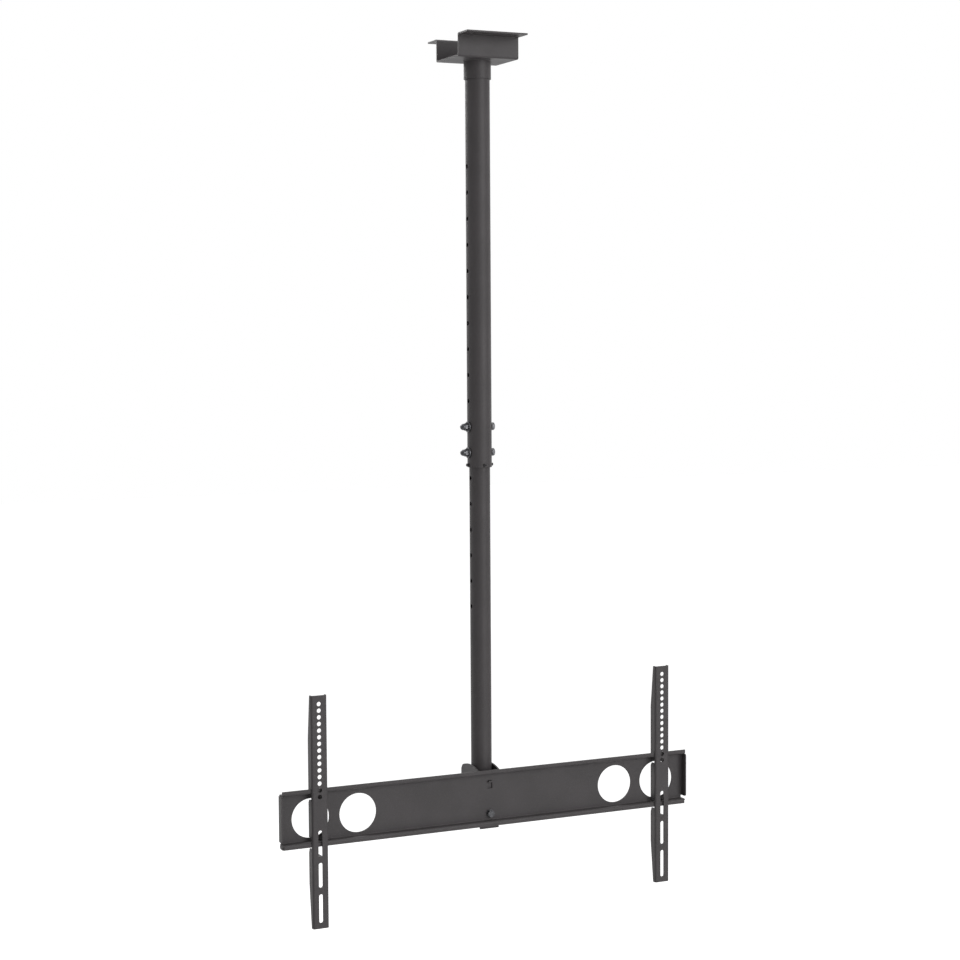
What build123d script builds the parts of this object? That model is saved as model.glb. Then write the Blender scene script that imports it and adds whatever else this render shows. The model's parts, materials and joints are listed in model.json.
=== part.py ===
from build123d import *
from math import cos, radians, sin
import os

# Ceiling mount for a large television, in millimetres.
# The origin is on the pole's axis at the ceiling face of the bracket's flanges.
# +Z is up, X runs along the crossbar, and the television hangs on the -Y side.

# Ceiling bracket: one folded hat channel, open at its two ends
BRACKET_LENGTH = 126.0
BRACKET_WIDTH = 102.0
BRACKET_DROP = 44.0
BRACKET_FLANGE = 40.0
BRACKET_SHEET = 3.0
BRACKET_BEND = 0.8
ANCHOR_HOLE_R = 5.5
ANCHOR_SPACING_X = 84.0
ANCHOR_SPACING_Y = 146.0

# Socket welded under the bracket, and the ring that carries the pole in it
SOCKET_WALL = 2.2
SOCKET_LENGTH = 35.0
SOCKET_PLAY = 0.3
WELD_LEG = 1.2
RING_R = 31.0
RING_THICKNESS = 4.0

# Telescoping pole
UPPER_OD = 47.5
LOWER_OD = 40.5
POLE_WALL = 2.0
POLE_HOLE_R = 4.5
HOLE_PITCH = 50.0
UPPER_HOLES = 12
LOWER_HOLES = 8
LOWEST_HOLE_DROP = 795.0
UPPER_TAIL = 28.5
LOWER_HEAD = 25.0

# Grub screws that steady the lower pole in the end of the upper one
GRUB_R = 3.0
GRUB_PROUD = 4.3
GRUB_RISE = 4.6
GRUB_HEX_AF = 3.0
GRUB_HEX_DEPTH = 2.5
GRUB_CHAMFER = 0.5
TIP_PLAY = 0.25

# M8 hardware
BOLT_R = 4.0
BOLT_TIP_CHAMFER = 0.7
THREAD_ROOT_R = 3.35
HEX_AF = 13.0
HEX_CORNER_FALL = 0.6
HEAD_HEIGHT = 5.3
NUT_HEIGHT = 8.0
NUT_COLLAR_R = 5.6
NUT_COLLAR = 1.5
INSERT_R = 4.9
INSERT_HEIGHT = 1.6
COLLAR_MOUTH_R = 4.6
COLLAR_CRIMP = 0.4
DOME_HEX_HEIGHT = 6.5
DOME_HEIGHT = 15.0
DOME_R = 6.25
DOME_BORE = 12.0
WASHER_R = 8.0
WASHER_THICKNESS = 1.6
WIDE_WASHER_R = 10.5
WIDE_WASHER_THICKNESS = 2.0
THREAD_PLAY = 0.05
PIVOT_PLAY = 0.08
HEIGHT_BOLT_LENGTH = 60.0
TILT_BOLT_LENGTH = 65.0
BAR_BOLT_LENGTH = 20.0

# Crossbar: one pressed sheet with out-turned lips and folded ends
BAR_LENGTH = 870.0
BAR_HEIGHT = 110.0
BAR_DEPTH = 17.5
BAR_LIP = 9.0
BAR_SHEET = 2.5
BAR_BEND = 1.5
BAR_CENTRE_DROP = 1465.0
BAR_BACK_GAP = 35.5
END_FLANGE_FALL = 41.0
END_FLANGE_RISE = 45.5
END_CORNER_R = 4.0
EAR_REACH = 17.0
EAR_CORNER_R = 4.5
EAR_PLAY = 0.3
BIG_HOLE_R = 37.5
BIG_HOLE_INSETS = (63.0, 158.5)
BIG_HOLE_DROP = 2.5

# Tilt bracket: one sheet folded into a U round the pole's foot
CHEEK_SHEET = 3.0
CHEEK_PLAY = 0.3
CHEEK_BEND = 1.5
CHEEK_BACK = 44.0
CHEEK_RISE = 57.5
CHEEK_SHOULDER = 8.0
CHEEK_BOTTOM = 42.0
CHEEK_CORNER_R = 14.0
BASE_TAB_WIDTH = 40.0
BASE_TAB_DROP = 63.5
BASE_TOP_RISE = 49.0
PIVOT_RISE = 25.0
LOCK_RADIUS = 35.0
FOOT_BELOW_PIVOT = 46.0
TILT_DOWN = 15.0
TILT_UP = 5.0
LOCK_SLOT_PLAY = 0.3

# Tongue of the tilt bracket that the crossbar hangs on, and the bolt below it
TONGUE_WIDTH = 8.0
TONGUE_RISE = 31.5
TONGUE_REACH = 4.0
TONGUE_WINDOW = 12.0
TONGUE_SLOT_PLAY = 1.0
TONGUE_TOP_PLAY = 0.2
TONGUE_SLOT_HEIGHT = 15.5
BAR_BOLT_DROP = 33.0

# Arms: one folded channel each, hooked on the crossbar's lips
ARM_LENGTH = 441.0
ARM_WIDTH = 32.0
ARM_DEPTH = 19.0
ARM_END_DEPTH = 9.3
ARM_TAPER = 84.0
ARM_SHEET = 2.5
ARM_BEND = 1.5
ARM_RISE = 231.0
ARM_PLAY = 0.3
ARM_WEB_GAP = 0.5
LEFT_ARM_INSET = 75.0
RIGHT_ARM_INSET = 59.0
ARM_HOLE_R = 4.25
ARM_HOLE_PITCH = 12.5
ARM_HOLE_COUNT = 15
ARM_FIRST_HOLE = 16.0
ARM_SLOT_R = 4.0
ARM_SLOT_GAP = 12.4
ARM_SLOT_END = 10.8
TAB_SLOT_START = 254.5
TAB_SLOT_LENGTH = 49.1
MIDDLE_SLOT_LENGTH = 47.2
TAB_LENGTH = 16.5
TAB_SCREW_R = 2.1
HOOK_NOTCH = 15.0
HOOK_NOTCH_FALL = 5.5
FOOT_NOTCH_RISE = 8.0
FOOT_NOTCH_GAP = 3.5
FOOT_NOTCH_FALL = 9.0
NOTCH_FLAT = 11.0

# How far a cut runs past the face that it starts from
CUT_PAST = 1.0

# Places worked out from the sizes above
plate_top = -BRACKET_DROP + BRACKET_SHEET
upper_r = UPPER_OD / 2
lower_r = LOWER_OD / 2
socket_r = upper_r + SOCKET_PLAY
upper_top = plate_top + SOCKET_PLAY + RING_THICKNESS
low_hole = -LOWEST_HOLE_DROP
upper_bottom = low_hole - UPPER_TAIL
bolt_zs = (low_hole, low_hole + HOLE_PITCH)
lower_top = bolt_zs[1] + LOWER_HEAD

insert_low = NUT_HEIGHT - COLLAR_CRIMP - INSERT_HEIGHT

bar_z = -BAR_CENTRE_DROP
bar_back = -BAR_BACK_GAP
web_front = bar_back - BAR_SHEET
lip_front = bar_back - BAR_DEPTH
lip_back = lip_front + BAR_SHEET
lip_top = bar_z + BAR_HEIGHT / 2
lip_bottom = bar_z - BAR_HEIGHT / 2
flange_under = lip_top - BAR_LIP
flange_over = lip_bottom + BAR_LIP

pivot_z = bar_z + PIVOT_RISE
lock_z = pivot_z - LOCK_RADIUS
foot_z = pivot_z - FOOT_BELOW_PIVOT
cheek_inner = lower_r + CHEEK_PLAY
cheek_outer = cheek_inner + CHEEK_SHEET
tongue_z = bar_z + TONGUE_RISE
bar_bolt_z = bar_z - BAR_BOLT_DROP

arm_back = web_front - ARM_WEB_GAP
arm_front = arm_back - ARM_DEPTH
arm_web_back = arm_front + ARM_SHEET
arm_top = bar_z + ARM_RISE
arm_bottom = arm_top - ARM_LENGTH
arm_xs = {"left_arm": LEFT_ARM_INSET - BAR_LENGTH / 2, "right_arm": BAR_LENGTH / 2 - RIGHT_ARM_INSET}
tab_slot = (TAB_SLOT_START, TAB_SLOT_START + TAB_SLOT_LENGTH)
middle_slot = (tab_slot[1] + ARM_SLOT_GAP, tab_slot[1] + ARM_SLOT_GAP + MIDDLE_SLOT_LENGTH)
lowest_slot = (middle_slot[1] + ARM_SLOT_GAP, ARM_LENGTH - ARM_SLOT_END)


def fold(points, inner_r, sheet, width, across):
    """Sheet of the given width, bent along the middle line through the points."""
    path = FilletPolyline(*points, radius=inner_r + sheet / 2)
    start = Plane(origin=path @ 0, x_dir=across, z_dir=path % 0)
    return sweep(start * Rectangle(width, sheet), path=path)


def box_between(low, high):
    """Box from its lowest corner to its highest."""
    size = [b - a for a, b in zip(low, high)]
    middle = [(a + b) / 2 for a, b in zip(low, high)]
    return Pos(*middle) * Box(*size)


def pipe(outer_r, inner_r, z_top, z_bottom):
    """Round tube round the pole's axis."""
    length = z_top - z_bottom
    middle = Pos(0, 0, (z_top + z_bottom) / 2)
    return middle * (Cylinder(outer_r, length) - Cylinder(inner_r, length))


def cross_drill(radius, z, span=3 * UPPER_OD):
    """Drill along X through the pole's axis."""
    return Pos(0, 0, z) * Rot(0, 90, 0) * Cylinder(radius, span)


def front_drill(radius, x, z, span=8 * BAR_SHEET):
    """Drill along Y through the crossbar's web."""
    return Pos(x, bar_back, z) * Rot(90, 0, 0) * Cylinder(radius, span)


def along(axis_rotation, place, solid):
    """Turn a piece that was built along +Z, and set it in its place."""
    return Pos(*place) * axis_rotation * solid


def hex_prism(height):
    """Hexagon that stands on z = 0, with its flats chamfered at the top."""
    prism = extrude(RegularPolygon(HEX_AF / 2, 6, major_radius=False), height)
    corner_r = HEX_AF / 2 / cos(radians(30))
    slope = corner_r - HEX_AF / 2
    cone = Pos(0, 0, height / 2) * Cylinder(corner_r, height)
    return prism & chamfer(cone.edges().sort_by(Axis.Z)[-1], slope * HEX_CORNER_FALL, slope)


def hex_bolt(length, bare=0):
    """Bolt with its head on z = 0 to HEAD_HEIGHT and its shank below, bare at the thread's root."""
    grip = length - bare
    tip_r = THREAD_ROOT_R if bare else BOLT_R
    shank = Pos(0, 0, -grip / 2) * Cylinder(BOLT_R, grip) + Pos(0, 0, -length / 2) * Cylinder(tip_r, length)
    shank = chamfer(shank.edges().sort_by(Axis.Z)[0], BOLT_TIP_CHAMFER)
    return hex_prism(HEAD_HEIGHT) + shank


def lock_nut():
    """Hexagon nut with the round collar that holds its nylon ring."""
    collar = Pos(0, 0, NUT_HEIGHT - NUT_COLLAR / 2) * Cylinder(NUT_COLLAR_R, NUT_COLLAR)
    body = hex_prism(NUT_HEIGHT - NUT_COLLAR) + collar
    body -= Cylinder(BOLT_R + THREAD_PLAY, 3 * NUT_HEIGHT)
    body -= Pos(0, 0, insert_low + INSERT_HEIGHT / 2) * Cylinder(INSERT_R, INSERT_HEIGHT)
    return body - Pos(0, 0, NUT_HEIGHT) * Cylinder(COLLAR_MOUTH_R, 2 * COLLAR_CRIMP)


def nut_insert():
    """Nylon ring held under the crimped collar of a lock nut."""
    ring = Cylinder(INSERT_R, INSERT_HEIGHT) - Cylinder(BOLT_R + THREAD_PLAY, INSERT_HEIGHT)
    return Pos(0, 0, insert_low + INSERT_HEIGHT / 2) * ring


def dome_nut():
    """Hexagon nut closed by a dome, with a blind bore."""
    straight = DOME_HEIGHT - DOME_R
    cap = Pos(0, 0, straight / 2) * Cylinder(DOME_R, straight)
    half_ball = Sphere(DOME_R) & box_between((-DOME_R, -DOME_R, 0), (DOME_R, DOME_R, DOME_R))
    cap += Pos(0, 0, straight) * half_ball
    bore = Pos(0, 0, DOME_BORE / 2) * Cylinder(BOLT_R + THREAD_PLAY, DOME_BORE)
    return hex_prism(DOME_HEX_HEIGHT) + cap - bore


def washer(outer_r, thickness):
    """Flat washer that lies on z = 0."""
    ring = Cylinder(outer_r, thickness) - Cylinder(BOLT_R + PIVOT_PLAY, thickness)
    return Pos(0, 0, thickness / 2) * ring


def ceiling_bracket():
    """Hat channel with four anchor holes and the hole that the pole turns in."""
    half = BRACKET_WIDTH / 2 - BRACKET_SHEET / 2
    tip = BRACKET_WIDTH / 2 + BRACKET_FLANGE
    high = -BRACKET_SHEET / 2
    low = -BRACKET_DROP + BRACKET_SHEET / 2
    line = [(0, tip, high), (0, half, high), (0, half, low)]
    line += [(0, -half, low), (0, -half, high), (0, -tip, high)]
    sheet = fold(line, BRACKET_BEND, BRACKET_SHEET, BRACKET_LENGTH, (1, 0, 0))
    sheet -= Pos(0, 0, low) * Cylinder(socket_r, 2 * BRACKET_SHEET)
    for x in (-ANCHOR_SPACING_X / 2, ANCHOR_SPACING_X / 2):
        for y in (-ANCHOR_SPACING_Y / 2, ANCHOR_SPACING_Y / 2):
            sheet -= Pos(x, y, high) * Cylinder(ANCHOR_HOLE_R, 2 * BRACKET_SHEET)
    return sheet


def pole_socket():
    """Sleeve under the bracket, with the fillet weld that fixes it."""
    top = -BRACKET_DROP
    outer = socket_r + SOCKET_WALL
    sleeve = pipe(outer, socket_r, top, top - SOCKET_LENGTH)
    bead = make_face(Polyline((outer, 0), (outer + WELD_LEG, 0), (outer, -WELD_LEG), close=True))
    weld = Pos(0, 0, top) * revolve(Plane.XZ * bead, Axis.Z)
    return sleeve + weld


def upper_pole():
    """Outer tube with its row of cross holes and four tapped holes."""
    tube = pipe(upper_r, upper_r - POLE_WALL, upper_top, upper_bottom)
    for step in range(UPPER_HOLES):
        tube -= cross_drill(POLE_HOLE_R, low_hole + step * HOLE_PITCH)
    for turn in range(2):
        tube -= Rot(0, 0, 90 * turn) * cross_drill(GRUB_R, upper_bottom + GRUB_RISE)
    return tube


def pole_ring():
    """Ring welded round the top of the pole, which turns on the bracket."""
    return pipe(RING_R, upper_r, upper_top, upper_top - RING_THICKNESS)


def grub_screws():
    """Four grub screws round the end of the upper pole."""
    tip = lower_r + TIP_PLAY
    length = upper_r + GRUB_PROUD - tip
    screw = Cylinder(GRUB_R - THREAD_PLAY, length)
    screw = chamfer(screw.edges().filter_by(GeomType.CIRCLE), GRUB_CHAMFER)
    key = extrude(RegularPolygon(GRUB_HEX_AF / 2, 6, major_radius=False), GRUB_HEX_DEPTH)
    screw -= Pos(0, 0, length / 2 - GRUB_HEX_DEPTH) * key
    screw = Rot(0, 90, 0) * screw
    placed = Pos(tip + length / 2, 0, upper_bottom + GRUB_RISE) * screw
    return [Rot(0, 0, 90 * turn) * placed for turn in range(4)]


def lower_pole():
    """Inner tube with eight height holes, and two for the tilt bolts."""
    tube = pipe(lower_r, lower_r - POLE_WALL, lower_top, foot_z)
    for step in range(LOWER_HOLES):
        tube -= cross_drill(POLE_HOLE_R, bolt_zs[1] - step * HOLE_PITCH)
    for z in (pivot_z, lock_z):
        tube -= cross_drill(BOLT_R + PIVOT_PLAY, z)
    return tube


def cheek_outline():
    """Side face of the tilt bracket, seen along X."""
    top = bar_z + CHEEK_RISE
    shoulder = top - CHEEK_SHOULDER
    bottom = bar_z - CHEEK_BOTTOM
    crown = ThreePointArc((bar_back, shoulder), (0, top), (CHEEK_BACK, shoulder))
    rest = Polyline((CHEEK_BACK, shoulder), (CHEEK_BACK, bottom), (bar_back, bottom), (bar_back, shoulder))
    face = make_face(crown + rest)
    backs = face.vertices().sort_by(Axis.X)[-2:]
    return fillet(backs, CHEEK_CORNER_R)


def tilt_bracket():
    """U of sheet whose cheeks swing on the pivot bolt behind the crossbar."""
    middle = cheek_inner + CHEEK_SHEET / 2
    base = bar_back + CHEEK_SHEET / 2
    span = CHEEK_RISE + CHEEK_BOTTOM
    line = [(-middle, CHEEK_BACK, bar_z), (-middle, base, bar_z)]
    line += [(middle, base, bar_z), (middle, CHEEK_BACK, bar_z)]
    sheet = fold(line, CHEEK_BEND, CHEEK_SHEET, 2 * span, (0, 0, 1))
    side = extrude(Plane.YZ * cheek_outline(), 2 * cheek_outer, both=True)
    sheet &= side

    base_back = bar_back + CHEEK_SHEET
    tab_x = BASE_TAB_WIDTH / 2
    tab = box_between((-tab_x, bar_back, bar_z - BASE_TAB_DROP), (tab_x, base_back, bar_z))
    sheet += tab
    above = bar_z + BASE_TOP_RISE
    gap_low = (-cheek_inner, bar_back - CUT_PAST, above)
    sheet -= box_between(gap_low, (cheek_inner, base_back + CUT_PAST, above + span))

    swing = [-TILT_UP + step * (TILT_DOWN + TILT_UP) / 4 for step in range(5)]
    places = [(LOCK_RADIUS * sin(radians(a)), pivot_z - LOCK_RADIUS * cos(radians(a))) for a in swing]
    lock_path = ThreePointArc(*[(-y, z) for y, z in (places[0], places[2], places[4])])
    slot = Plane.YZ * SlotArc(lock_path, 2 * (BOLT_R + LOCK_SLOT_PLAY))
    sheet -= extrude(slot, 2 * cheek_outer, both=True)
    sheet -= cross_drill(BOLT_R + PIVOT_PLAY, pivot_z)

    window_x = TONGUE_WIDTH / 2
    window_low = (-window_x, bar_back - CUT_PAST, tongue_z)
    sheet -= box_between(window_low, (window_x, base_back + CUT_PAST, tongue_z + TONGUE_WINDOW))
    tip = (-window_x, web_front - TONGUE_REACH, tongue_z - CHEEK_SHEET)
    sheet += box_between(tip, (window_x, base_back, tongue_z))
    return sheet - front_drill(BOLT_R + PIVOT_PLAY, 0, bar_bolt_z)


def lip_ear(bar, side, long_x):
    """End of the lower lip turned back towards the wall side, with a round corner."""
    half = BAR_SHEET / 2
    ear_top = flange_over - BAR_SHEET - EAR_PLAY
    height = ear_top - lip_bottom
    middle = (ear_top + lip_bottom) / 2
    front = lip_front + half
    bend_x = long_x - BAR_SHEET - BAR_BEND
    xs = sorted((side * bend_x, side * (long_x + CUT_PAST)))
    bar -= box_between((xs[0], lip_front - CUT_PAST, lip_bottom - CUT_PAST), (xs[1], lip_back + CUT_PAST, ear_top))
    line = [(side * (bend_x - BAR_SHEET), front, middle), (side * (long_x - half), front, middle)]
    line.append((side * (long_x - half), lip_front + EAR_REACH, middle))
    ear = fold(line, BAR_BEND, BAR_SHEET, height, (0, 0, 1))
    back_edge = ear.edges().filter_by(Axis.X).group_by(Axis.Y)[-1].sort_by(Axis.Z)[0]
    return bar + fillet(back_edge, EAR_CORNER_R)


def crossbar():
    """Web with two flanges, out-turned lips, folded ends and four big holes."""
    long_x = BAR_LENGTH / 2 - BAR_SHEET
    half = BAR_SHEET / 2
    top = flange_under + half
    bottom = flange_over - half
    front = lip_front + half
    web = bar_back - half
    line = [(0, front, lip_top), (0, front, top), (0, web, top)]
    line += [(0, web, bottom), (0, front, bottom), (0, front, lip_bottom)]
    bar = fold(line, BAR_BEND, BAR_SHEET, 2 * long_x, (1, 0, 0))

    end_x = BAR_LENGTH / 2
    bend_x = end_x - BAR_SHEET - BAR_BEND
    tall = END_FLANGE_RISE + END_FLANGE_FALL
    end_z = bar_z + (END_FLANGE_RISE - END_FLANGE_FALL) / 2
    for side in (-1, 1):
        xs = sorted((side * bend_x, side * (end_x + CUT_PAST)))
        notch_low = (xs[0], web_front - BAR_SHEET / 2, flange_over)
        bar -= box_between(notch_low, (xs[1], bar_back + CUT_PAST, flange_under))
        corner = [(side * (bend_x - BAR_SHEET), web, end_z), (side * (end_x - half), web, end_z)]
        corner.append((side * (end_x - half), lip_front, end_z))
        end = fold(corner, BAR_BEND, BAR_SHEET, tall, (0, 0, 1))
        tips = end.edges().filter_by(Axis.X).group_by(Axis.Y)[0]
        bar += fillet(tips, END_CORNER_R)
        bar = lip_ear(bar, side, long_x)

    for inset in BIG_HOLE_INSETS:
        for side in (-1, 1):
            bar -= front_drill(BIG_HOLE_R, side * (end_x - inset), bar_z - BIG_HOLE_DROP)
    slot_x = TONGUE_WIDTH / 2 + TONGUE_SLOT_PLAY
    slot_top = tongue_z + TONGUE_TOP_PLAY
    slot_low = (-slot_x, web_front - CUT_PAST, slot_top - TONGUE_SLOT_HEIGHT)
    slot = box_between(slot_low, (slot_x, bar_back + CUT_PAST, slot_top))
    bar -= fillet(slot.edges().filter_by(Axis.Y), TONGUE_SLOT_PLAY)
    return bar - front_drill(BOLT_R + PIVOT_PLAY, 0, bar_bolt_z)


def arm_side(x_centre):
    """Side outline of an arm: tapered ends, a hook and a foot notch."""
    seat = flange_under + BAR_SHEET + ARM_PLAY
    crown = lip_top + ARM_PLAY
    lip_in = lip_back + ARM_PLAY
    lip_out = lip_front - ARM_PLAY
    hook_low = flange_under - HOOK_NOTCH + BAR_SHEET
    foot_high = flange_over + FOOT_NOTCH_RISE
    foot_low = lip_bottom - FOOT_NOTCH_GAP
    flat = lip_out + NOTCH_FLAT
    end_y = arm_front + ARM_END_DEPTH
    outline = [(arm_front, arm_top), (end_y, arm_top), (arm_back, arm_top - ARM_TAPER)]
    outline += [(arm_back, seat), (lip_in, seat), (lip_in, crown), (lip_out, crown)]
    outline += [(lip_out, hook_low), (flat, hook_low), (arm_back, hook_low - HOOK_NOTCH_FALL)]
    outline += [(arm_back, foot_high), (lip_out, foot_high), (lip_out, foot_low)]
    outline += [(flat, foot_low), (arm_back, foot_low - FOOT_NOTCH_FALL)]
    outline += [(arm_back, arm_bottom + ARM_TAPER), (end_y, arm_bottom), (arm_front, arm_bottom)]
    face = make_face(Polyline(*outline, close=True))
    finger = face.vertices().sort_by_distance((lip_in, seat, 0))[0]
    face = fillet(finger, BAR_BEND)
    return Pos(x_centre, 0, 0) * extrude(Plane.YZ * face, ARM_WIDTH, both=True)


def arm_slot(high, low):
    """Upright slot through an arm's web, given as drops from the arm's top."""
    middle = Pos(0, arm_front, arm_top - (high + low) / 2)
    shape = SlotOverall(low - high, 2 * ARM_SLOT_R, rotation=90)
    return middle * extrude(Plane.XZ * shape, 2 * ARM_SHEET, both=True)


def television_arm(x_centre):
    """Channel arm with a row of holes, three slots and a lanced tab."""
    edge = ARM_WIDTH / 2 - ARM_SHEET / 2
    web = arm_front + ARM_SHEET / 2
    line = [(-edge, arm_back, 0), (-edge, web, 0), (edge, web, 0), (edge, arm_back, 0)]
    arm = fold(line, ARM_BEND, ARM_SHEET, 2 * ARM_LENGTH, (0, 0, 1))
    arm = Pos(0, 0, (arm_top + arm_bottom) / 2) * arm
    for step in range(ARM_HOLE_COUNT):
        z = arm_top - ARM_FIRST_HOLE - step * ARM_HOLE_PITCH
        arm -= Pos(0, arm_front, z) * Rot(90, 0, 0) * Cylinder(ARM_HOLE_R, 4 * ARM_SHEET)
    for high, low in (tab_slot, middle_slot, lowest_slot):
        arm -= arm_slot(high, low)

    tab_top = arm_top - tab_slot[1]
    square_low = (-ARM_SLOT_R, arm_front - CUT_PAST, tab_top)
    arm -= box_between(square_low, (ARM_SLOT_R, arm_web_back, tab_top + ARM_SLOT_R))
    arm += box_between((-ARM_SLOT_R, arm_front, tab_top - ARM_SHEET), (ARM_SLOT_R, arm_web_back, tab_top))
    end_y = arm_web_back + TAB_LENGTH - ARM_SLOT_R
    tongue = box_between((-ARM_SLOT_R, arm_web_back, tab_top - ARM_SHEET), (ARM_SLOT_R, end_y, tab_top))
    tab_z = tab_top - ARM_SHEET / 2
    tongue += Pos(0, end_y, tab_z) * Cylinder(ARM_SLOT_R, ARM_SHEET)
    tongue -= Pos(0, end_y - ARM_SLOT_R / 2, tab_z) * Cylinder(TAB_SCREW_R, 2 * ARM_SHEET)
    arm = Pos(x_centre, 0, 0) * arm & arm_side(x_centre)
    return arm + Pos(x_centre, 0, 0) * tongue


def height_hardware():
    """Bolts, washers and dome nuts that pin the lower pole in the upper one."""
    right = Rot(0, 90, 0)
    left = Rot(0, -90, 0)
    bolts, small, wide, nuts = [], [], [], []
    head_x = upper_r + WASHER_THICKNESS
    nut_x = upper_r + WIDE_WASHER_THICKNESS
    for z in bolt_zs:
        bolts.append(along(right, (head_x, 0, z), hex_bolt(HEIGHT_BOLT_LENGTH)))
        small.append(along(right, (upper_r, 0, z), washer(WASHER_R, WASHER_THICKNESS)))
        wide.append(along(left, (-upper_r, 0, z), washer(WIDE_WASHER_R, WIDE_WASHER_THICKNESS)))
        nuts.append(along(left, (-nut_x, 0, z), dome_nut()))
    return bolts, small, wide, nuts


def tilt_hardware():
    """Bolts, washers, lock nuts and their inserts through the cheeks and the pole's foot."""
    right = Rot(0, 90, 0)
    left = Rot(0, -90, 0)
    bolts, washers, nuts, inserts = [], [], [], []
    face_x = cheek_outer + PIVOT_PLAY
    seat_x = face_x + WASHER_THICKNESS
    bare = TILT_BOLT_LENGTH - 2 * seat_x - NUT_HEIGHT
    for z in (pivot_z, lock_z):
        bolts.append(along(left, (-seat_x, 0, z), hex_bolt(TILT_BOLT_LENGTH, bare)))
        washers.append(along(left, (-face_x, 0, z), washer(WASHER_R, WASHER_THICKNESS)))
        washers.append(along(right, (face_x, 0, z), washer(WASHER_R, WASHER_THICKNESS)))
        nuts.append(along(right, (seat_x, 0, z), lock_nut()))
        inserts.append(along(right, (seat_x, 0, z), nut_insert()))
    return bolts, washers, nuts, inserts


def bar_hardware():
    """Bolt, washers, lock nut and its insert that hold the crossbar on the tilt bracket."""
    front = Rot(90, 0, 0)
    back = Rot(-90, 0, 0)
    plate_back = bar_back + CHEEK_SHEET
    head_y = web_front - WASHER_THICKNESS
    nut_y = plate_back + WASHER_THICKNESS
    bare = BAR_BOLT_LENGTH - (nut_y + NUT_HEIGHT - head_y)
    bolt = along(front, (0, head_y, bar_bolt_z), hex_bolt(BAR_BOLT_LENGTH, bare))
    washers = [along(front, (0, web_front, bar_bolt_z), washer(WASHER_R, WASHER_THICKNESS))]
    washers.append(along(back, (0, plate_back, bar_bolt_z), washer(WASHER_R, WASHER_THICKNESS)))
    nut = along(back, (0, nut_y, bar_bolt_z), lock_nut())
    insert = along(back, (0, nut_y, bar_bolt_z), nut_insert())
    return bolt, washers, nut, insert


def write(name, *solids):
    """One STEP file for a node: one solid, or a group of separate ones."""
    shape = solids[0] if len(solids) == 1 else Compound(children=list(solids))
    export_step(shape, f"parts/{name}.step")


def main():
    os.makedirs("parts", exist_ok=True)
    write("ceiling_bracket", ceiling_bracket())
    write("pole_socket", pole_socket())
    write("upper_pole", upper_pole())
    write("pole_ring", pole_ring())
    write("grub_screws", *grub_screws())
    write("lower_pole", lower_pole())
    write("tilt_bracket", tilt_bracket())
    write("crossbar", crossbar())
    for name, x_centre in arm_xs.items():
        write(name, television_arm(x_centre))
    bolts, small, wide, nuts = height_hardware()
    write("height_bolts", *bolts)
    write("height_bolt_washers", *small)
    write("wide_washers", *wide)
    write("dome_nuts", *nuts)
    bolts, washers, nuts, inserts = tilt_hardware()
    write("tilt_bolts", *bolts)
    write("tilt_washers", *washers)
    write("tilt_lock_nuts", *nuts)
    write("tilt_nut_inserts", *inserts)
    bolt, washers, nut, insert = bar_hardware()
    write("crossbar_bolt", bolt)
    write("crossbar_washers", *washers)
    write("crossbar_lock_nut", nut)
    write("crossbar_nut_insert", insert)


if __name__ == "__main__":
    main()
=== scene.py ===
"""Looks for a television ceiling mount.

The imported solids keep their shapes. This script gives them powder-coated and plated steel, adds the
fine threads of the bolts, and sets a pale studio with the camera where the photograph was taken.
"""

import json
import logging
import math
from dataclasses import dataclass
from enum import Enum, IntEnum

import bmesh
import bpy
from mathutils import Matrix, Vector

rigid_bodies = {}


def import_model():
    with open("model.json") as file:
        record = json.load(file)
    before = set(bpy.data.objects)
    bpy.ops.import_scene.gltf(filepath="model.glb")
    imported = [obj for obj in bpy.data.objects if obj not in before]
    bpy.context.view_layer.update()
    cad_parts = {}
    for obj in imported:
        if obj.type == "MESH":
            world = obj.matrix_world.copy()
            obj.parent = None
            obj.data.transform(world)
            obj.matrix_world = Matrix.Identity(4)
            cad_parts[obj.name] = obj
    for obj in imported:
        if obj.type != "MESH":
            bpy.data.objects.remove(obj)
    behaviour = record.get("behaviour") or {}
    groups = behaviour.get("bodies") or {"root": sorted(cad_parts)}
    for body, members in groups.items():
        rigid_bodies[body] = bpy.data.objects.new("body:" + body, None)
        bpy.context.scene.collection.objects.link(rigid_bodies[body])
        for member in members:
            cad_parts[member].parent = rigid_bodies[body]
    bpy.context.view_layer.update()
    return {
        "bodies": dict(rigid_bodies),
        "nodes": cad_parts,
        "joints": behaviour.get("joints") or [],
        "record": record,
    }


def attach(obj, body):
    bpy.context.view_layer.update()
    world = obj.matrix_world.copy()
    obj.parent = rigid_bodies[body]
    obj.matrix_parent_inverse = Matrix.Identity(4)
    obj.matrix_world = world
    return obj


LOG = logging.getLogger("ceiling_mount")
MM = 0.001
OPAQUE = 1.0
WHITE = (1.0, 1.0, 1.0)
BLACK = (0.0, 0.0, 0.0)
ORIGIN = (0.0, 0.0, 0.0)
ALONG_X = (1.0, 0.0, 0.0)
ALONG_Y = (0.0, 1.0, 0.0)
ALONG_Z = (0.0, 0.0, 1.0)

Colour = tuple[float, float, float]
Point = tuple[float, float, float]
Operand = "Signal | float"
Value = "Signal | float | tuple[float, ...]"


class Input(IntEnum):
    """Input sockets that share a name with others of their node, and so go by number."""

    FIRST = 0
    SECOND = 1
    LOW = 2
    HIGH = 3
    FIRST_COLOUR = 6
    SECOND_COLOUR = 7


class Output(IntEnum):
    """Output sockets that go by number."""

    FIRST = 0
    MIXED_COLOUR = 2


class Ray(Enum):
    """The kinds of ray that are told apart."""

    CAMERA = "Is Camera Ray"
    GLOSSY = "Is Glossy Ray"
    TRANSMISSION = "Is Transmission Ray"


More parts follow.
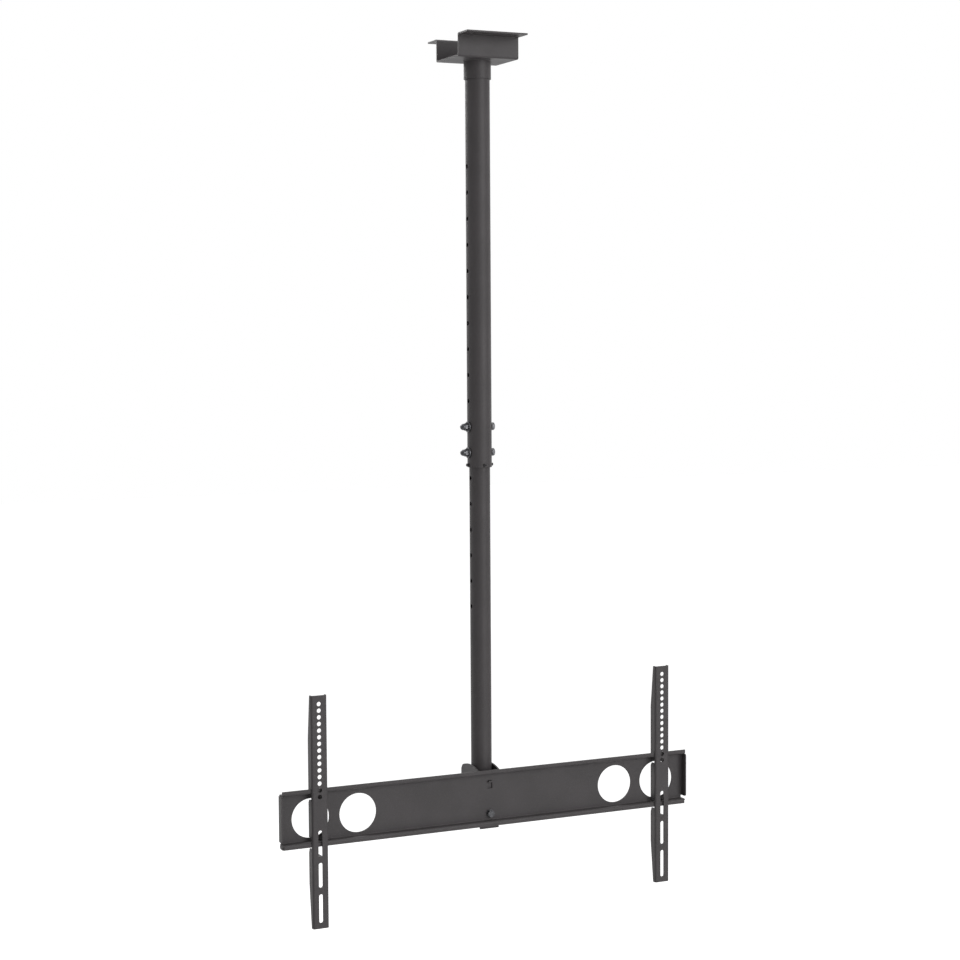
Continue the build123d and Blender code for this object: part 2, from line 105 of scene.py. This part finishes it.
class Signal:
    """One shader socket, on which Python's operators build Math nodes."""

    def __init__(self, sheet: "NodeSheet", socket: bpy.types.NodeSocket) -> None:
        """Wraps a socket.

        Args:
            sheet: the node sheet that the socket is on.
            socket: the output socket that carries the value.
        """
        self.sheet = sheet
        self.socket = socket

    def _combine(self, operation: str, first: Operand, second: Operand) -> "Signal":
        """Adds one Math node and returns its result."""
        inputs = {Input.FIRST: first, Input.SECOND: second}
        return self.sheet.add("ShaderNodeMath", {"operation": operation}, inputs)

    def __add__(self, other: Operand) -> "Signal":
        """Sum."""
        return self._combine("ADD", self, other)

    def __radd__(self, other: float) -> "Signal":
        """Sum, with the number first."""
        return self._combine("ADD", other, self)

    def __sub__(self, other: Operand) -> "Signal":
        """Difference."""
        return self._combine("SUBTRACT", self, other)

    def __rsub__(self, other: float) -> "Signal":
        """Difference, with the number first."""
        return self._combine("SUBTRACT", other, self)

    def __mul__(self, other: Operand) -> "Signal":
        """Product."""
        return self._combine("MULTIPLY", self, other)

    def __rmul__(self, other: float) -> "Signal":
        """Product, with the number first."""
        return self._combine("MULTIPLY", other, self)

    def held_between(self, low: float, high: float, floor: float = 0.0, ceiling: float = 1.0) -> "Signal":
        """Maps low to floor and high to ceiling, smoothly, and holds the value between them.

        Args:
            low: the value that gives floor.
            high: the value that gives ceiling.
            floor: the result at and below low.
            ceiling: the result at and above high.

        Returns:
            The mapped value.
        """
        settings = {"interpolation_type": "SMOOTHSTEP"}
        inputs = {"Value": self, "From Min": low, "From Max": high, "To Min": floor, "To Max": ceiling}
        return self.sheet.add("ShaderNodeMapRange", settings, inputs)


class NodeSheet:
    """A node tree, whose nodes all come from one method."""

    def __init__(self, tree: bpy.types.NodeTree) -> None:
        """Takes a tree and empties it.

        Args:
            tree: the node tree of a material or of the surroundings.
        """
        self.tree = tree
        self.tree.nodes.clear()

    def node(
        self,
        kind: str,
        settings: dict[str, object] | None = None,
        inputs: "dict[int | str, Value] | None" = None,
    ) -> bpy.types.Node:
        """Adds one node.

        Args:
            kind: the node's type.
            settings: attributes of the node, set before its sockets.
            inputs: values or signals for its input sockets, by number or name.

        Returns:
            The new node.
        """
        node = self.tree.nodes.new(kind)
        for name, value in (settings or {}).items():
            setattr(node, name, value)
        for key, value in (inputs or {}).items():
            if isinstance(value, Signal):
                self.tree.links.new(value.socket, node.inputs[key])
            else:
                node.inputs[key].default_value = value
        return node

    def add(
        self,
        kind: str,
        settings: dict[str, object] | None = None,
        inputs: "dict[int | str, Value] | None" = None,
        output: int | str = Output.FIRST,
    ) -> Signal:
        """Adds one node and takes its result.

        Args:
            kind: the node's type.
            settings: attributes of the node, set before its sockets.
            inputs: values or signals for its input sockets, by number or name.
            output: the output socket that is returned.

        Returns:
            The chosen output.
        """
        return Signal(self, self.node(kind, settings, inputs).outputs[output])

    def is_ray(self, ray: Ray) -> Signal:
        """1 for a ray of that kind, and 0 for any other."""
        return self.add("ShaderNodeLightPath", output=ray.value)

    def depth(self, place: Signal) -> Signal:
        """The part of a place or direction that runs from front to back."""
        return self.add("ShaderNodeSeparateXYZ", None, {"Vector": place}, "Y")


@dataclass(frozen=True)
class Speckle:
    """Soft noise on a piece, in the piece's own metres.

    The feature is the width of its patches, detail the number of finer layers, and fineness their
    strength. Held between low and high, it runs from least to 1.
    """

    feature: float
    detail: float = 2.0
    fineness: float = 0.5
    low: float = 0.0
    high: float = 1.0
    least: float = 0.0


class SurfaceSheet(NodeSheet):
    """The node tree of one material, which ends in a Principled shader."""

    EDGE_SAMPLES = 4
    EDGE_STARTS = 0.02
    EDGE_FULL = 0.3

    def __init__(self, name: str) -> None:
        """Makes an empty material.

        Args:
            name: the material's name.
        """
        self.material = bpy.data.materials.new(name)
        self.material.use_nodes = True
        super().__init__(self.material.node_tree)

    def place(self) -> Signal:
        """Point on the object in its own metres, which stays put as the joints move."""
        return self.add("ShaderNodeTexCoord", output="Object")

    def noise(self, speckle: Speckle) -> Signal:
        """Soft noise from 0 to 1, not held.

        Args:
            speckle: the noise's scale and layers.

        Returns:
            The noise's value.
        """
        inputs = {
            "Vector": self.place(),
            "Scale": 1.0 / speckle.feature,
            "Detail": speckle.detail,
            "Roughness": speckle.fineness,
        }
        return self.add("ShaderNodeTexNoise", {"noise_dimensions": "3D"}, inputs)

    def patches(self, speckle: Speckle) -> Signal:
        """Soft noise held between the speckle's low and high."""
        return self.noise(speckle).held_between(speckle.low, speckle.high, speckle.least)

    def mix(self, share: Operand, first: "Colour | Signal", second: "Colour | Signal") -> Signal:
        """Blends two colours.

        Args:
            share: how much of the second colour shows.
            first: the colour at a share of 0.
            second: the colour at a share of 1.

        Returns:
            The blend.
        """
        first, second = (
            colour if isinstance(colour, Signal) else (*colour, OPAQUE) for colour in (first, second)
        )
        inputs = {"Factor": share, Input.FIRST_COLOUR: first, Input.SECOND_COLOUR: second}
        return self.add("ShaderNodeMix", {"data_type": "RGBA"}, inputs, Output.MIXED_COLOUR)

    def rounded(self, radius: float) -> Signal:
        """Normal of the surface with its sharp edges eased by a radius in metres."""
        return self.add("ShaderNodeBevel", {"samples": self.EDGE_SAMPLES}, {"Radius": radius})

    def sharp_edges(self, width: float) -> Signal:
        """How near a sharp edge is, from 0 on a flat to 1 on the edge.

        Args:
            width: how far from the edge it reaches, in metres.

        Returns:
            The nearness.
        """
        flat = self.add("ShaderNodeNewGeometry", output="Normal")
        inputs = {Input.FIRST: self.rounded(width), Input.SECOND: flat}
        agreement = self.add("ShaderNodeVectorMath", {"operation": "DOT_PRODUCT"}, inputs, "Value")
        return (1.0 - agreement).held_between(self.EDGE_STARTS, self.EDGE_FULL)

    def bump(self, height: Signal, depth: float, under: Signal) -> Signal:
        """Relief of the given depth.

        Args:
            height: the relief from 0 to 1.
            depth: the relief's depth in metres.
            under: the normal that the relief lies on.

        Returns:
            The new normal.
        """
        inputs = {"Height": height, "Distance": depth, "Strength": 1.0, "Normal": under}
        return self.add("ShaderNodeBump", None, inputs)

    def finish(self, fixed: "dict[str, Value]", varied: dict[str, Signal]) -> bpy.types.Material:
        """Ends the sheet in a Principled shader.

        Args:
            fixed: numbers and colours that are the same all over.
            varied: signals that change over the surface.

        Returns:
            The finished material.
        """
        shader = self.add("ShaderNodeBsdfPrincipled", None, {**fixed, **varied})
        self.node("ShaderNodeOutputMaterial", None, {"Surface": shader})
        return self.material


@dataclass(frozen=True)
class PowderCoat:
    """Charcoal powder coat: fine grain over a soft orange peel, and painted highlights on sharp edges."""

    name: str = "charcoal_powder_coat"
    colour: Colour = (0.059, 0.0535, 0.0555)
    cloud_colour: Colour = (0.052, 0.0475, 0.049)
    grain_colour: Colour = (0.070, 0.0645, 0.0665)
    fleck_colour: Colour = (0.12, 0.115, 0.115)
    # Painted highlight: the lighter colour that sharp edges take, in place of light catching them.
    edge_highlight_colour: Colour = (0.105, 0.099, 0.10)
    clouds: Speckle = Speckle(60 * MM, 3.0, low=0.35, high=0.65)
    grain: Speckle = Speckle(0.55 * MM, 3.0, 0.6, low=0.4, high=0.7)
    peel: Speckle = Speckle(2.4 * MM, 1.0)
    flecks: Speckle = Speckle(0.8 * MM, 1.0, low=0.62, high=0.72)
    # Patches that vary the strength of the painted edge highlight.
    highlight_patches: Speckle = Speckle(9 * MM, 4.0, 0.65, low=0.42, high=0.62, least=0.35)
    fleck_strength: float = 0.5
    edge_width: float = 0.5 * MM
    edge_radius: float = 0.45 * MM
    peel_depth: float = 0.05 * MM
    grain_depth: float = 0.06 * MM
    roughness: float = 0.41
    cloud_roughness: float = 0.05
    grain_roughness: float = 0.10
    edge_smoothing: float = 0.10
    specular: float = 0.3

    def material(self) -> bpy.types.Material:
        """Builds the coat's material.

        Returns:
            The material.
        """
        sheet = SurfaceSheet(self.name)
        cloud = sheet.patches(self.clouds)
        grain = sheet.noise(self.grain)
        # Painted highlight: sharp edges, in patches, are painted lighter and also made smoother.
        edge_highlight_mask = sheet.sharp_edges(self.edge_width) * sheet.patches(self.highlight_patches)
        colour = sheet.mix(cloud, self.colour, self.cloud_colour)
        colour = sheet.mix(grain.held_between(self.grain.low, self.grain.high), colour, self.grain_colour)
        colour = sheet.mix(sheet.patches(self.flecks) * self.fleck_strength, colour, self.fleck_colour)
        colour = sheet.mix(edge_highlight_mask, colour, self.edge_highlight_colour)
        roughness = self.roughness + cloud * self.cloud_roughness + grain * self.grain_roughness
        roughness = roughness - edge_highlight_mask * self.edge_smoothing
        normal = sheet.bump(sheet.noise(self.peel), self.peel_depth, sheet.rounded(self.edge_radius))
        normal = sheet.bump(grain, self.grain_depth, normal)
        varied = {"Base Color": colour, "Roughness": roughness, "Normal": normal}
        return sheet.finish({"Metallic": 0.0, "Specular IOR Level": self.specular}, varied)


@dataclass(frozen=True)
class DarkZinc:
    """Black-chromated zinc on fasteners: dull metal with faint mottling and painted highlights on its edges.
    """

    name: str = "dark_zinc"
    colour: Colour = (0.118, 0.118, 0.123)
    mottle_colour: Colour = (0.08, 0.081, 0.087)
    # Painted highlight: the bright colour that sharp edges take, in place of light catching them.
    edge_highlight_colour: Colour = (0.27, 0.27, 0.28)
    mottle: Speckle = Speckle(3.5 * MM, 3.0, 0.6, low=0.38, high=0.62)
    grain: Speckle = Speckle(0.25 * MM, 2.0)
    edge_highlight_strength: float = 0.55
    edge_width: float = 0.3 * MM
    edge_radius: float = 0.3 * MM
    grain_depth: float = 0.006 * MM
    roughness: float = 0.24
    mottle_roughness: float = 0.09
    grain_roughness: float = 0.06
    edge_polish: float = 0.06
    metallic: float = 0.85
    specular: float = 0.3

    def material(self) -> bpy.types.Material:
        """Builds the plating's material.

        Returns:
            The material.
        """
        sheet = SurfaceSheet(self.name)
        mottle = sheet.patches(self.mottle)
        grain = sheet.noise(self.grain)
        edges = sheet.sharp_edges(self.edge_width)
        colour = sheet.mix(mottle, self.colour, self.mottle_colour)
        # Painted highlight: sharp edges are painted brighter.
        colour = sheet.mix(edges * self.edge_highlight_strength, colour, self.edge_highlight_colour)
        roughness = self.roughness + mottle * self.mottle_roughness + grain * self.grain_roughness
        roughness = roughness - edges * self.edge_polish
        normal = sheet.bump(grain, self.grain_depth, sheet.rounded(self.edge_radius))
        varied = {"Base Color": colour, "Roughness": roughness, "Normal": normal}
        return sheet.finish({"Metallic": self.metallic, "Specular IOR Level": self.specular}, varied)


@dataclass(frozen=True)
class BlackOxide:
    """Oiled black oxide on the grub screws, whose fine thread is relief along the pole's radius."""

    name: str = "black_oxide"
    colour: Colour = (0.038, 0.036, 0.038)
    # Painted highlight: the lighter colour that sharp edges take, in place of light catching them.
    edge_highlight_colour: Colour = (0.12, 0.12, 0.12)
    grain: Speckle = Speckle(0.4 * MM, 3.0)
    edge_highlight_strength: float = 0.6
    edge_width: float = 0.25 * MM
    edge_radius: float = 0.2 * MM
    pitch: float = 1.0 * MM
    thread_depth: float = 0.25 * MM
    grain_depth: float = 0.008 * MM
    roughness: float = 0.28
    grain_roughness: float = 0.16
    metallic: float = 0.7
    specular: float = 0.5

    ACROSS_POLE = (1.0, 1.0, 0.0)

    def material(self) -> bpy.types.Material:
        """Builds the oxide's material.

        Returns:
            The material.
        """
        sheet = SurfaceSheet(self.name)
        grain = sheet.noise(self.grain)
        edges = sheet.sharp_edges(self.edge_width)
        # Painted highlight: sharp edges are painted lighter.
        colour = sheet.mix(edges * self.edge_highlight_strength, self.colour, self.edge_highlight_colour)
        normal = sheet.bump(self._thread(sheet), self.thread_depth, sheet.rounded(self.edge_radius))
        normal = sheet.bump(grain, self.grain_depth, normal)
        roughness = self.roughness + grain * self.grain_roughness
        varied = {"Base Color": colour, "Roughness": roughness, "Normal": normal}
        return sheet.finish({"Metallic": self.metallic, "Specular IOR Level": self.specular}, varied)

    def _thread(self, sheet: SurfaceSheet) -> Signal:
        """Waves from 0 to 1, one for each turn of a thread that runs out from the pole.

        Args:
            sheet: the sheet of the screws' material.

        Returns:
            The waves.
        """
        inputs = {Input.FIRST: sheet.place(), Input.SECOND: self.ACROSS_POLE}
        level = sheet.add("ShaderNodeVectorMath", {"operation": "MULTIPLY"}, inputs)
        out = sheet.add("ShaderNodeVectorMath", {"operation": "LENGTH"}, {Input.FIRST: level}, "Value")
        turns = out * (math.tau / self.pitch)
        wave = sheet.add("ShaderNodeMath", {"operation": "SINE"}, {Input.FIRST: turns})
        return wave * 0.5 + 0.5


@dataclass(frozen=True)
class Nylon:
    """Off-white nylon of the lock nuts' rings, with a dull moulded skin that is worn in patches."""

    name: str = "off_white_nylon"
    colour: Colour = (0.60, 0.585, 0.54)
    worn_colour: Colour = (0.44, 0.42, 0.38)
    skin: Speckle = Speckle(0.6 * MM, 2.0)
    worn: Speckle = Speckle(1.8 * MM, 3.0, low=0.45, high=0.7)
    worn_strength: float = 0.6
    edge_radius: float = 0.2 * MM
    skin_depth: float = 0.01 * MM
    roughness: float = 0.42
    skin_roughness: float = 0.12
    specular: float = 0.5

    def material(self) -> bpy.types.Material:
        """Builds the nylon's material.

        Returns:
            The material.
        """
        sheet = SurfaceSheet(self.name)
        skin = sheet.noise(self.skin)
        colour = sheet.mix(sheet.patches(self.worn) * self.worn_strength, self.colour, self.worn_colour)
        normal = sheet.bump(skin, self.skin_depth, sheet.rounded(self.edge_radius))
        roughness = self.roughness + skin * self.skin_roughness
        varied = {"Base Color": colour, "Roughness": roughness, "Normal": normal}
        return sheet.finish({"Specular IOR Level": self.specular}, varied)


class Finish(Enum):
    """The finishes that the mount's pieces take."""

    COAT = PowderCoat()
    ZINC = DarkZinc()
    OXIDE = BlackOxide()
    NYLON = Nylon()


@dataclass(frozen=True)
class SteelWork:
    """The mount's own solids and the finish of each record slot."""

    frame: dict[str, object]

    SLOTS = {
        "powder_coat": Finish.COAT,
        "dark_zinc": Finish.ZINC,
        "black_oxide": Finish.OXIDE,
        "nylon": Finish.NYLON,
    }

    def dress(self, materials: dict[Finish, bpy.types.Material]) -> dict[str, Finish]:
        """Gives each solid its finish.

        Args:
            materials: the material of each finish.

        Returns:
            The finish that each solid took, by its name.
        """
        slots = {part["node"]: part["material_slot"] for part in self.frame["record"]["subparts"]}
        taken = {name: self.SLOTS[slots[name]] for name in self.frame["nodes"]}
        for name, finish in taken.items():
            solid = self.frame["nodes"][name]
            solid.data.materials.clear()
            solid.data.materials.append(materials[finish])
        return taken


def new_object(name: str, data: bpy.types.ID) -> bpy.types.Object:
    """Puts new data in the scene.

    Args:
        name: the object's name.
        data: its mesh, lamp or camera.

    Returns:
        The object, at the origin.
    """
    added = bpy.data.objects.new(name, data)
    bpy.context.scene.collection.objects.link(added)
    return added


def mesh_object(name: str, shape: bmesh.types.BMesh) -> bpy.types.Object:
    """Turns a finished shape into an object, and frees it.

    Args:
        name: the name of the mesh and the object.
        shape: the shape, in its place.

    Returns:
        The object, at the origin.
    """
    mesh = bpy.data.meshes.new(name)
    shape.to_mesh(mesh)
    shape.free()
    return new_object(name, mesh)


@dataclass(frozen=True)
class Thread:
    """A coarse screw thread wound on the bare end of a bolt.

    The thread is one closed ridge. Its root leaves a small gap between two turns, so that no turn
    cuts into the next.
    """

    pitch: float = 1.25 * MM
    core: float = 3.32 * MM
    crest: float = 3.98 * MM
    flat: float = 0.16 * MM
    gap: float = 0.02 * MM
    steps: int = 40

    def wind(self, name: str, start: Point, along: Point, length: float) -> bpy.types.Object:
        """Winds the thread.

        Args:
            name: the new piece's name.
            start: the point on the bolt's axis where the thread starts.
            along: the bolt's direction, of length 1.
            length: the threaded length.

        Returns:
            The thread, in its place.
        """
        shape = bmesh.new()
        half = self.pitch / 2 - self.gap
        outline = ((self.core, -half), (self.crest, -self.flat), (self.crest, self.flat), (self.core, half))
        ring = [shape.verts.new((radius, 0.0, rise + self.pitch / 2)) for radius, rise in outline]
        face = shape.faces.new(ring)
        turns = length / self.pitch - 1.0
        steps = round(self.steps * turns)
        bmesh.ops.spin(
            shape,
            geom=[face],
            cent=ORIGIN,
            axis=ALONG_Z,
            dvec=(0.0, 0.0, self.pitch * turns / steps),
            angle=math.tau * turns,
            steps=steps,
            use_merge=False,
            use_duplicate=False,
        )
        bmesh.ops.recalc_face_normals(shape, faces=shape.faces)
        turn = Vector(ALONG_Z).rotation_difference(Vector(along)).to_matrix().to_4x4()
        bmesh.ops.transform(shape, matrix=Matrix.Translation(start) @ turn, verts=shape.verts)
        return mesh_object(name, shape)


@dataclass(frozen=True)
class BoltEnds:
    """The threads that show between each lock nut and the tip of its bolt, in metres."""

    tilt_heights: tuple[float, float] = (-1.440, -1.475)
    tilt_nut_end: float = 33.23 * MM
    tilt_tip: float = 39.77 * MM
    bar_height: float = -1.498
    bar_nut_end: float = -22.9 * MM
    bar_tip: float = -19.6 * MM
    thread: Thread = Thread()

    def cut(self, zinc: bpy.types.Material) -> list[bpy.types.Object]:
        """Threads the three bolts.

        Args:
            zinc: the bolts' finish.

        Returns:
            The three threads.
        """
        threads = []
        length = self.tilt_tip - self.tilt_nut_end
        for number, height in enumerate(self.tilt_heights, start=1):
            start = (self.tilt_nut_end, 0.0, height)
            piece = self.thread.wind(f"tilt_bolt_thread_{number}", start, ALONG_X, length)
            self._dress(piece, zinc, "lower_tube")
            threads.append(piece)
        start = (0.0, self.bar_nut_end, self.bar_height)
        piece = self.thread.wind("crossbar_bolt_thread", start, ALONG_Y, self.bar_tip - self.bar_nut_end)
        self._dress(piece, zinc, "crossbar_frame")
        threads.append(piece)
        return threads

    def _dress(self, piece: bpy.types.Object, zinc: bpy.types.Material, body: str) -> None:
        """Gives a thread the bolt's finish and lets it move with the bolt.

        Args:
            piece: the thread.
            zinc: the bolt's finish.
            body: the body that carries the bolt.
        """
        piece.data.materials.append(zinc)
        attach(piece, body)


@dataclass(frozen=True)
class Lamp:
    """One soft square lamp of the studio, with its side in metres and its power in watts."""

    name: str
    place: Point
    aim: Point
    side: float
    power: float

    def light(self) -> None:
        """Hangs the lamp in the scene."""
        data = bpy.data.lights.new(self.name, "AREA")
        data.shape = "SQUARE"
        data.size = self.side
        data.energy = self.power
        direction = Vector(self.aim) - Vector(self.place)
        turn = direction.to_track_quat("-Z", "Y").to_matrix().to_4x4()
        new_object(self.name, data).matrix_world = Matrix.Translation(self.place) @ turn


@dataclass(frozen=True)
class Studio:
    """Pale floor, pale surroundings and soft lamps.

    Behind the mount both show white and are mirrored as white, and in front of it gloss mirrors a dim
    room. The fades between the two run from front to back, in metres on the floor and as a direction's
    part in the surroundings.
    """

    floor_drop: float = 3.3
    floor_side: float = 60.0
    floor_grey: float = 0.82
    floor_roughness: float = 0.9
    floor_glow: float = 0.78
    floor_mirror: float = 0.8
    floor_fade: tuple[float, float] = (-1.0, 6.0)
    surround: float = 0.32
    mirror: float = 1.0
    dim_mirror: float = 0.25
    mirror_fade: tuple[float, float] = (-0.75, 0.15)

    LAMPS = (
        Lamp("key_lamp", (2.75, -7.38, 0.59), (0.0, 0.0, -0.8), 6.0, 350.0),
        Lamp("back_lamp", (-1.0, 4.4, 2.2), (0.0, 0.0, -0.8), 3.0, 200.0),
        Lamp("top_lamp", (0.6, -0.7, 2.6), (0.0, 0.0, -0.4), 2.0, 50.0),
    )

    def build(self) -> None:
        """Sets the whole studio."""
        self._floor()
        self._surroundings()
        for lamp in self.LAMPS:
            lamp.light()

    def _floor(self) -> None:
        """Lays a pale floor that keeps the mount's shadow and shows near white."""
        shape = bmesh.new()
        bmesh.ops.create_grid(shape, x_segments=1, y_segments=1, size=self.floor_side / 2)
        bmesh.ops.translate(shape, verts=shape.verts, vec=(0.0, 0.0, -self.floor_drop))
        floor = mesh_object("floor", shape)
        floor.data.materials.append(self._floor_finish())

    def _floor_finish(self) -> bpy.types.Material:
        """Builds the floor's material.

        Returns:
            The material.
        """
        sheet = SurfaceSheet("pale_floor")
        behind = sheet.depth(sheet.place()).held_between(*self.floor_fade, 0.0, self.floor_mirror)
        shown = sheet.is_ray(Ray.CAMERA) + sheet.is_ray(Ray.TRANSMISSION)
        shown = shown + sheet.is_ray(Ray.GLOSSY) * behind
        grey = (self.floor_grey, self.floor_grey, self.floor_grey, OPAQUE)
        fixed = {"Base Color": grey, "Roughness": self.floor_roughness, "Emission Strength": self.floor_glow}
        return sheet.finish(fixed, {"Emission Color": sheet.mix(shown, BLACK, WHITE)})

    def _surroundings(self) -> None:
        """Shows white behind the mount and lights it softly from all round."""
        world = bpy.data.worlds.new("surroundings")
        world.use_nodes = True
        sheet = NodeSheet(world.node_tree)
        direction = sheet.add("ShaderNodeTexCoord", output="Generated")
        mirrored = sheet.depth(direction).held_between(*self.mirror_fade, self.dim_mirror, self.mirror)
        level = self.surround
        for ray, strength in ((Ray.GLOSSY, mirrored), (Ray.CAMERA, 1.0), (Ray.TRANSMISSION, 1.0)):
            inputs = {"Factor": sheet.is_ray(ray), Input.LOW: level, Input.HIGH: strength}
            level = sheet.add("ShaderNodeMix", None, inputs)
        back = sheet.add("ShaderNodeBackground", None, {"Color": (*WHITE, OPAQUE), "Strength": level})
        sheet.node("ShaderNodeOutputWorld", None, {"Surface": back})
        bpy.context.scene.world = world


@dataclass(frozen=True)
class PhotoCamera:
    """The camera that took the photograph, in the mount's frame.

    Its place and its nearest and farthest sight are in metres, its turns in degrees, and its lens and
    sensor in millimetres.
    """

    place: Point = (-1.6789, -3.5707, -0.5692)
    turn_right: float = 25.19
    look_down: float = 4.056
    roll: float = -0.346
    lens: float = 76.28
    sensor: float = 36.0
    nearest: float = 0.05
    farthest: float = 200.0

    LEVEL = 90.0

    def build(self) -> None:
        """Sets the camera."""
        data = bpy.data.cameras.new("camera")
        data.lens = self.lens
        data.sensor_width = self.sensor
        data.clip_start = self.nearest
        data.clip_end = self.farthest
        yaw = Matrix.Rotation(math.radians(-self.turn_right), 4, "Z")
        pitch = Matrix.Rotation(math.radians(self.LEVEL - self.look_down), 4, "X")
        roll = Matrix.Rotation(math.radians(self.roll), 4, "Z")
        camera = new_object("camera", data)
        camera.matrix_world = Matrix.Translation(self.place) @ yaw @ pitch @ roll
        bpy.context.scene.camera = camera


def main() -> None:
    """Builds the whole scene."""
    logging.basicConfig(level=logging.INFO, format="%(message)s")
    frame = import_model()
    scene = bpy.context.scene
    scene.view_settings.view_transform = "Standard"
    PhotoCamera().build()
    Studio().build()
    materials = {finish: finish.value.material() for finish in Finish}
    for name, finish in SteelWork(frame).dress(materials).items():
        LOG.info("%s takes %s", name, finish.value.name)
    for thread in BoltEnds().cut(materials[Finish.ZINC]):
        LOG.info("%s is wound on its bolt", thread.name)


if __name__ == "__main__":
    main()
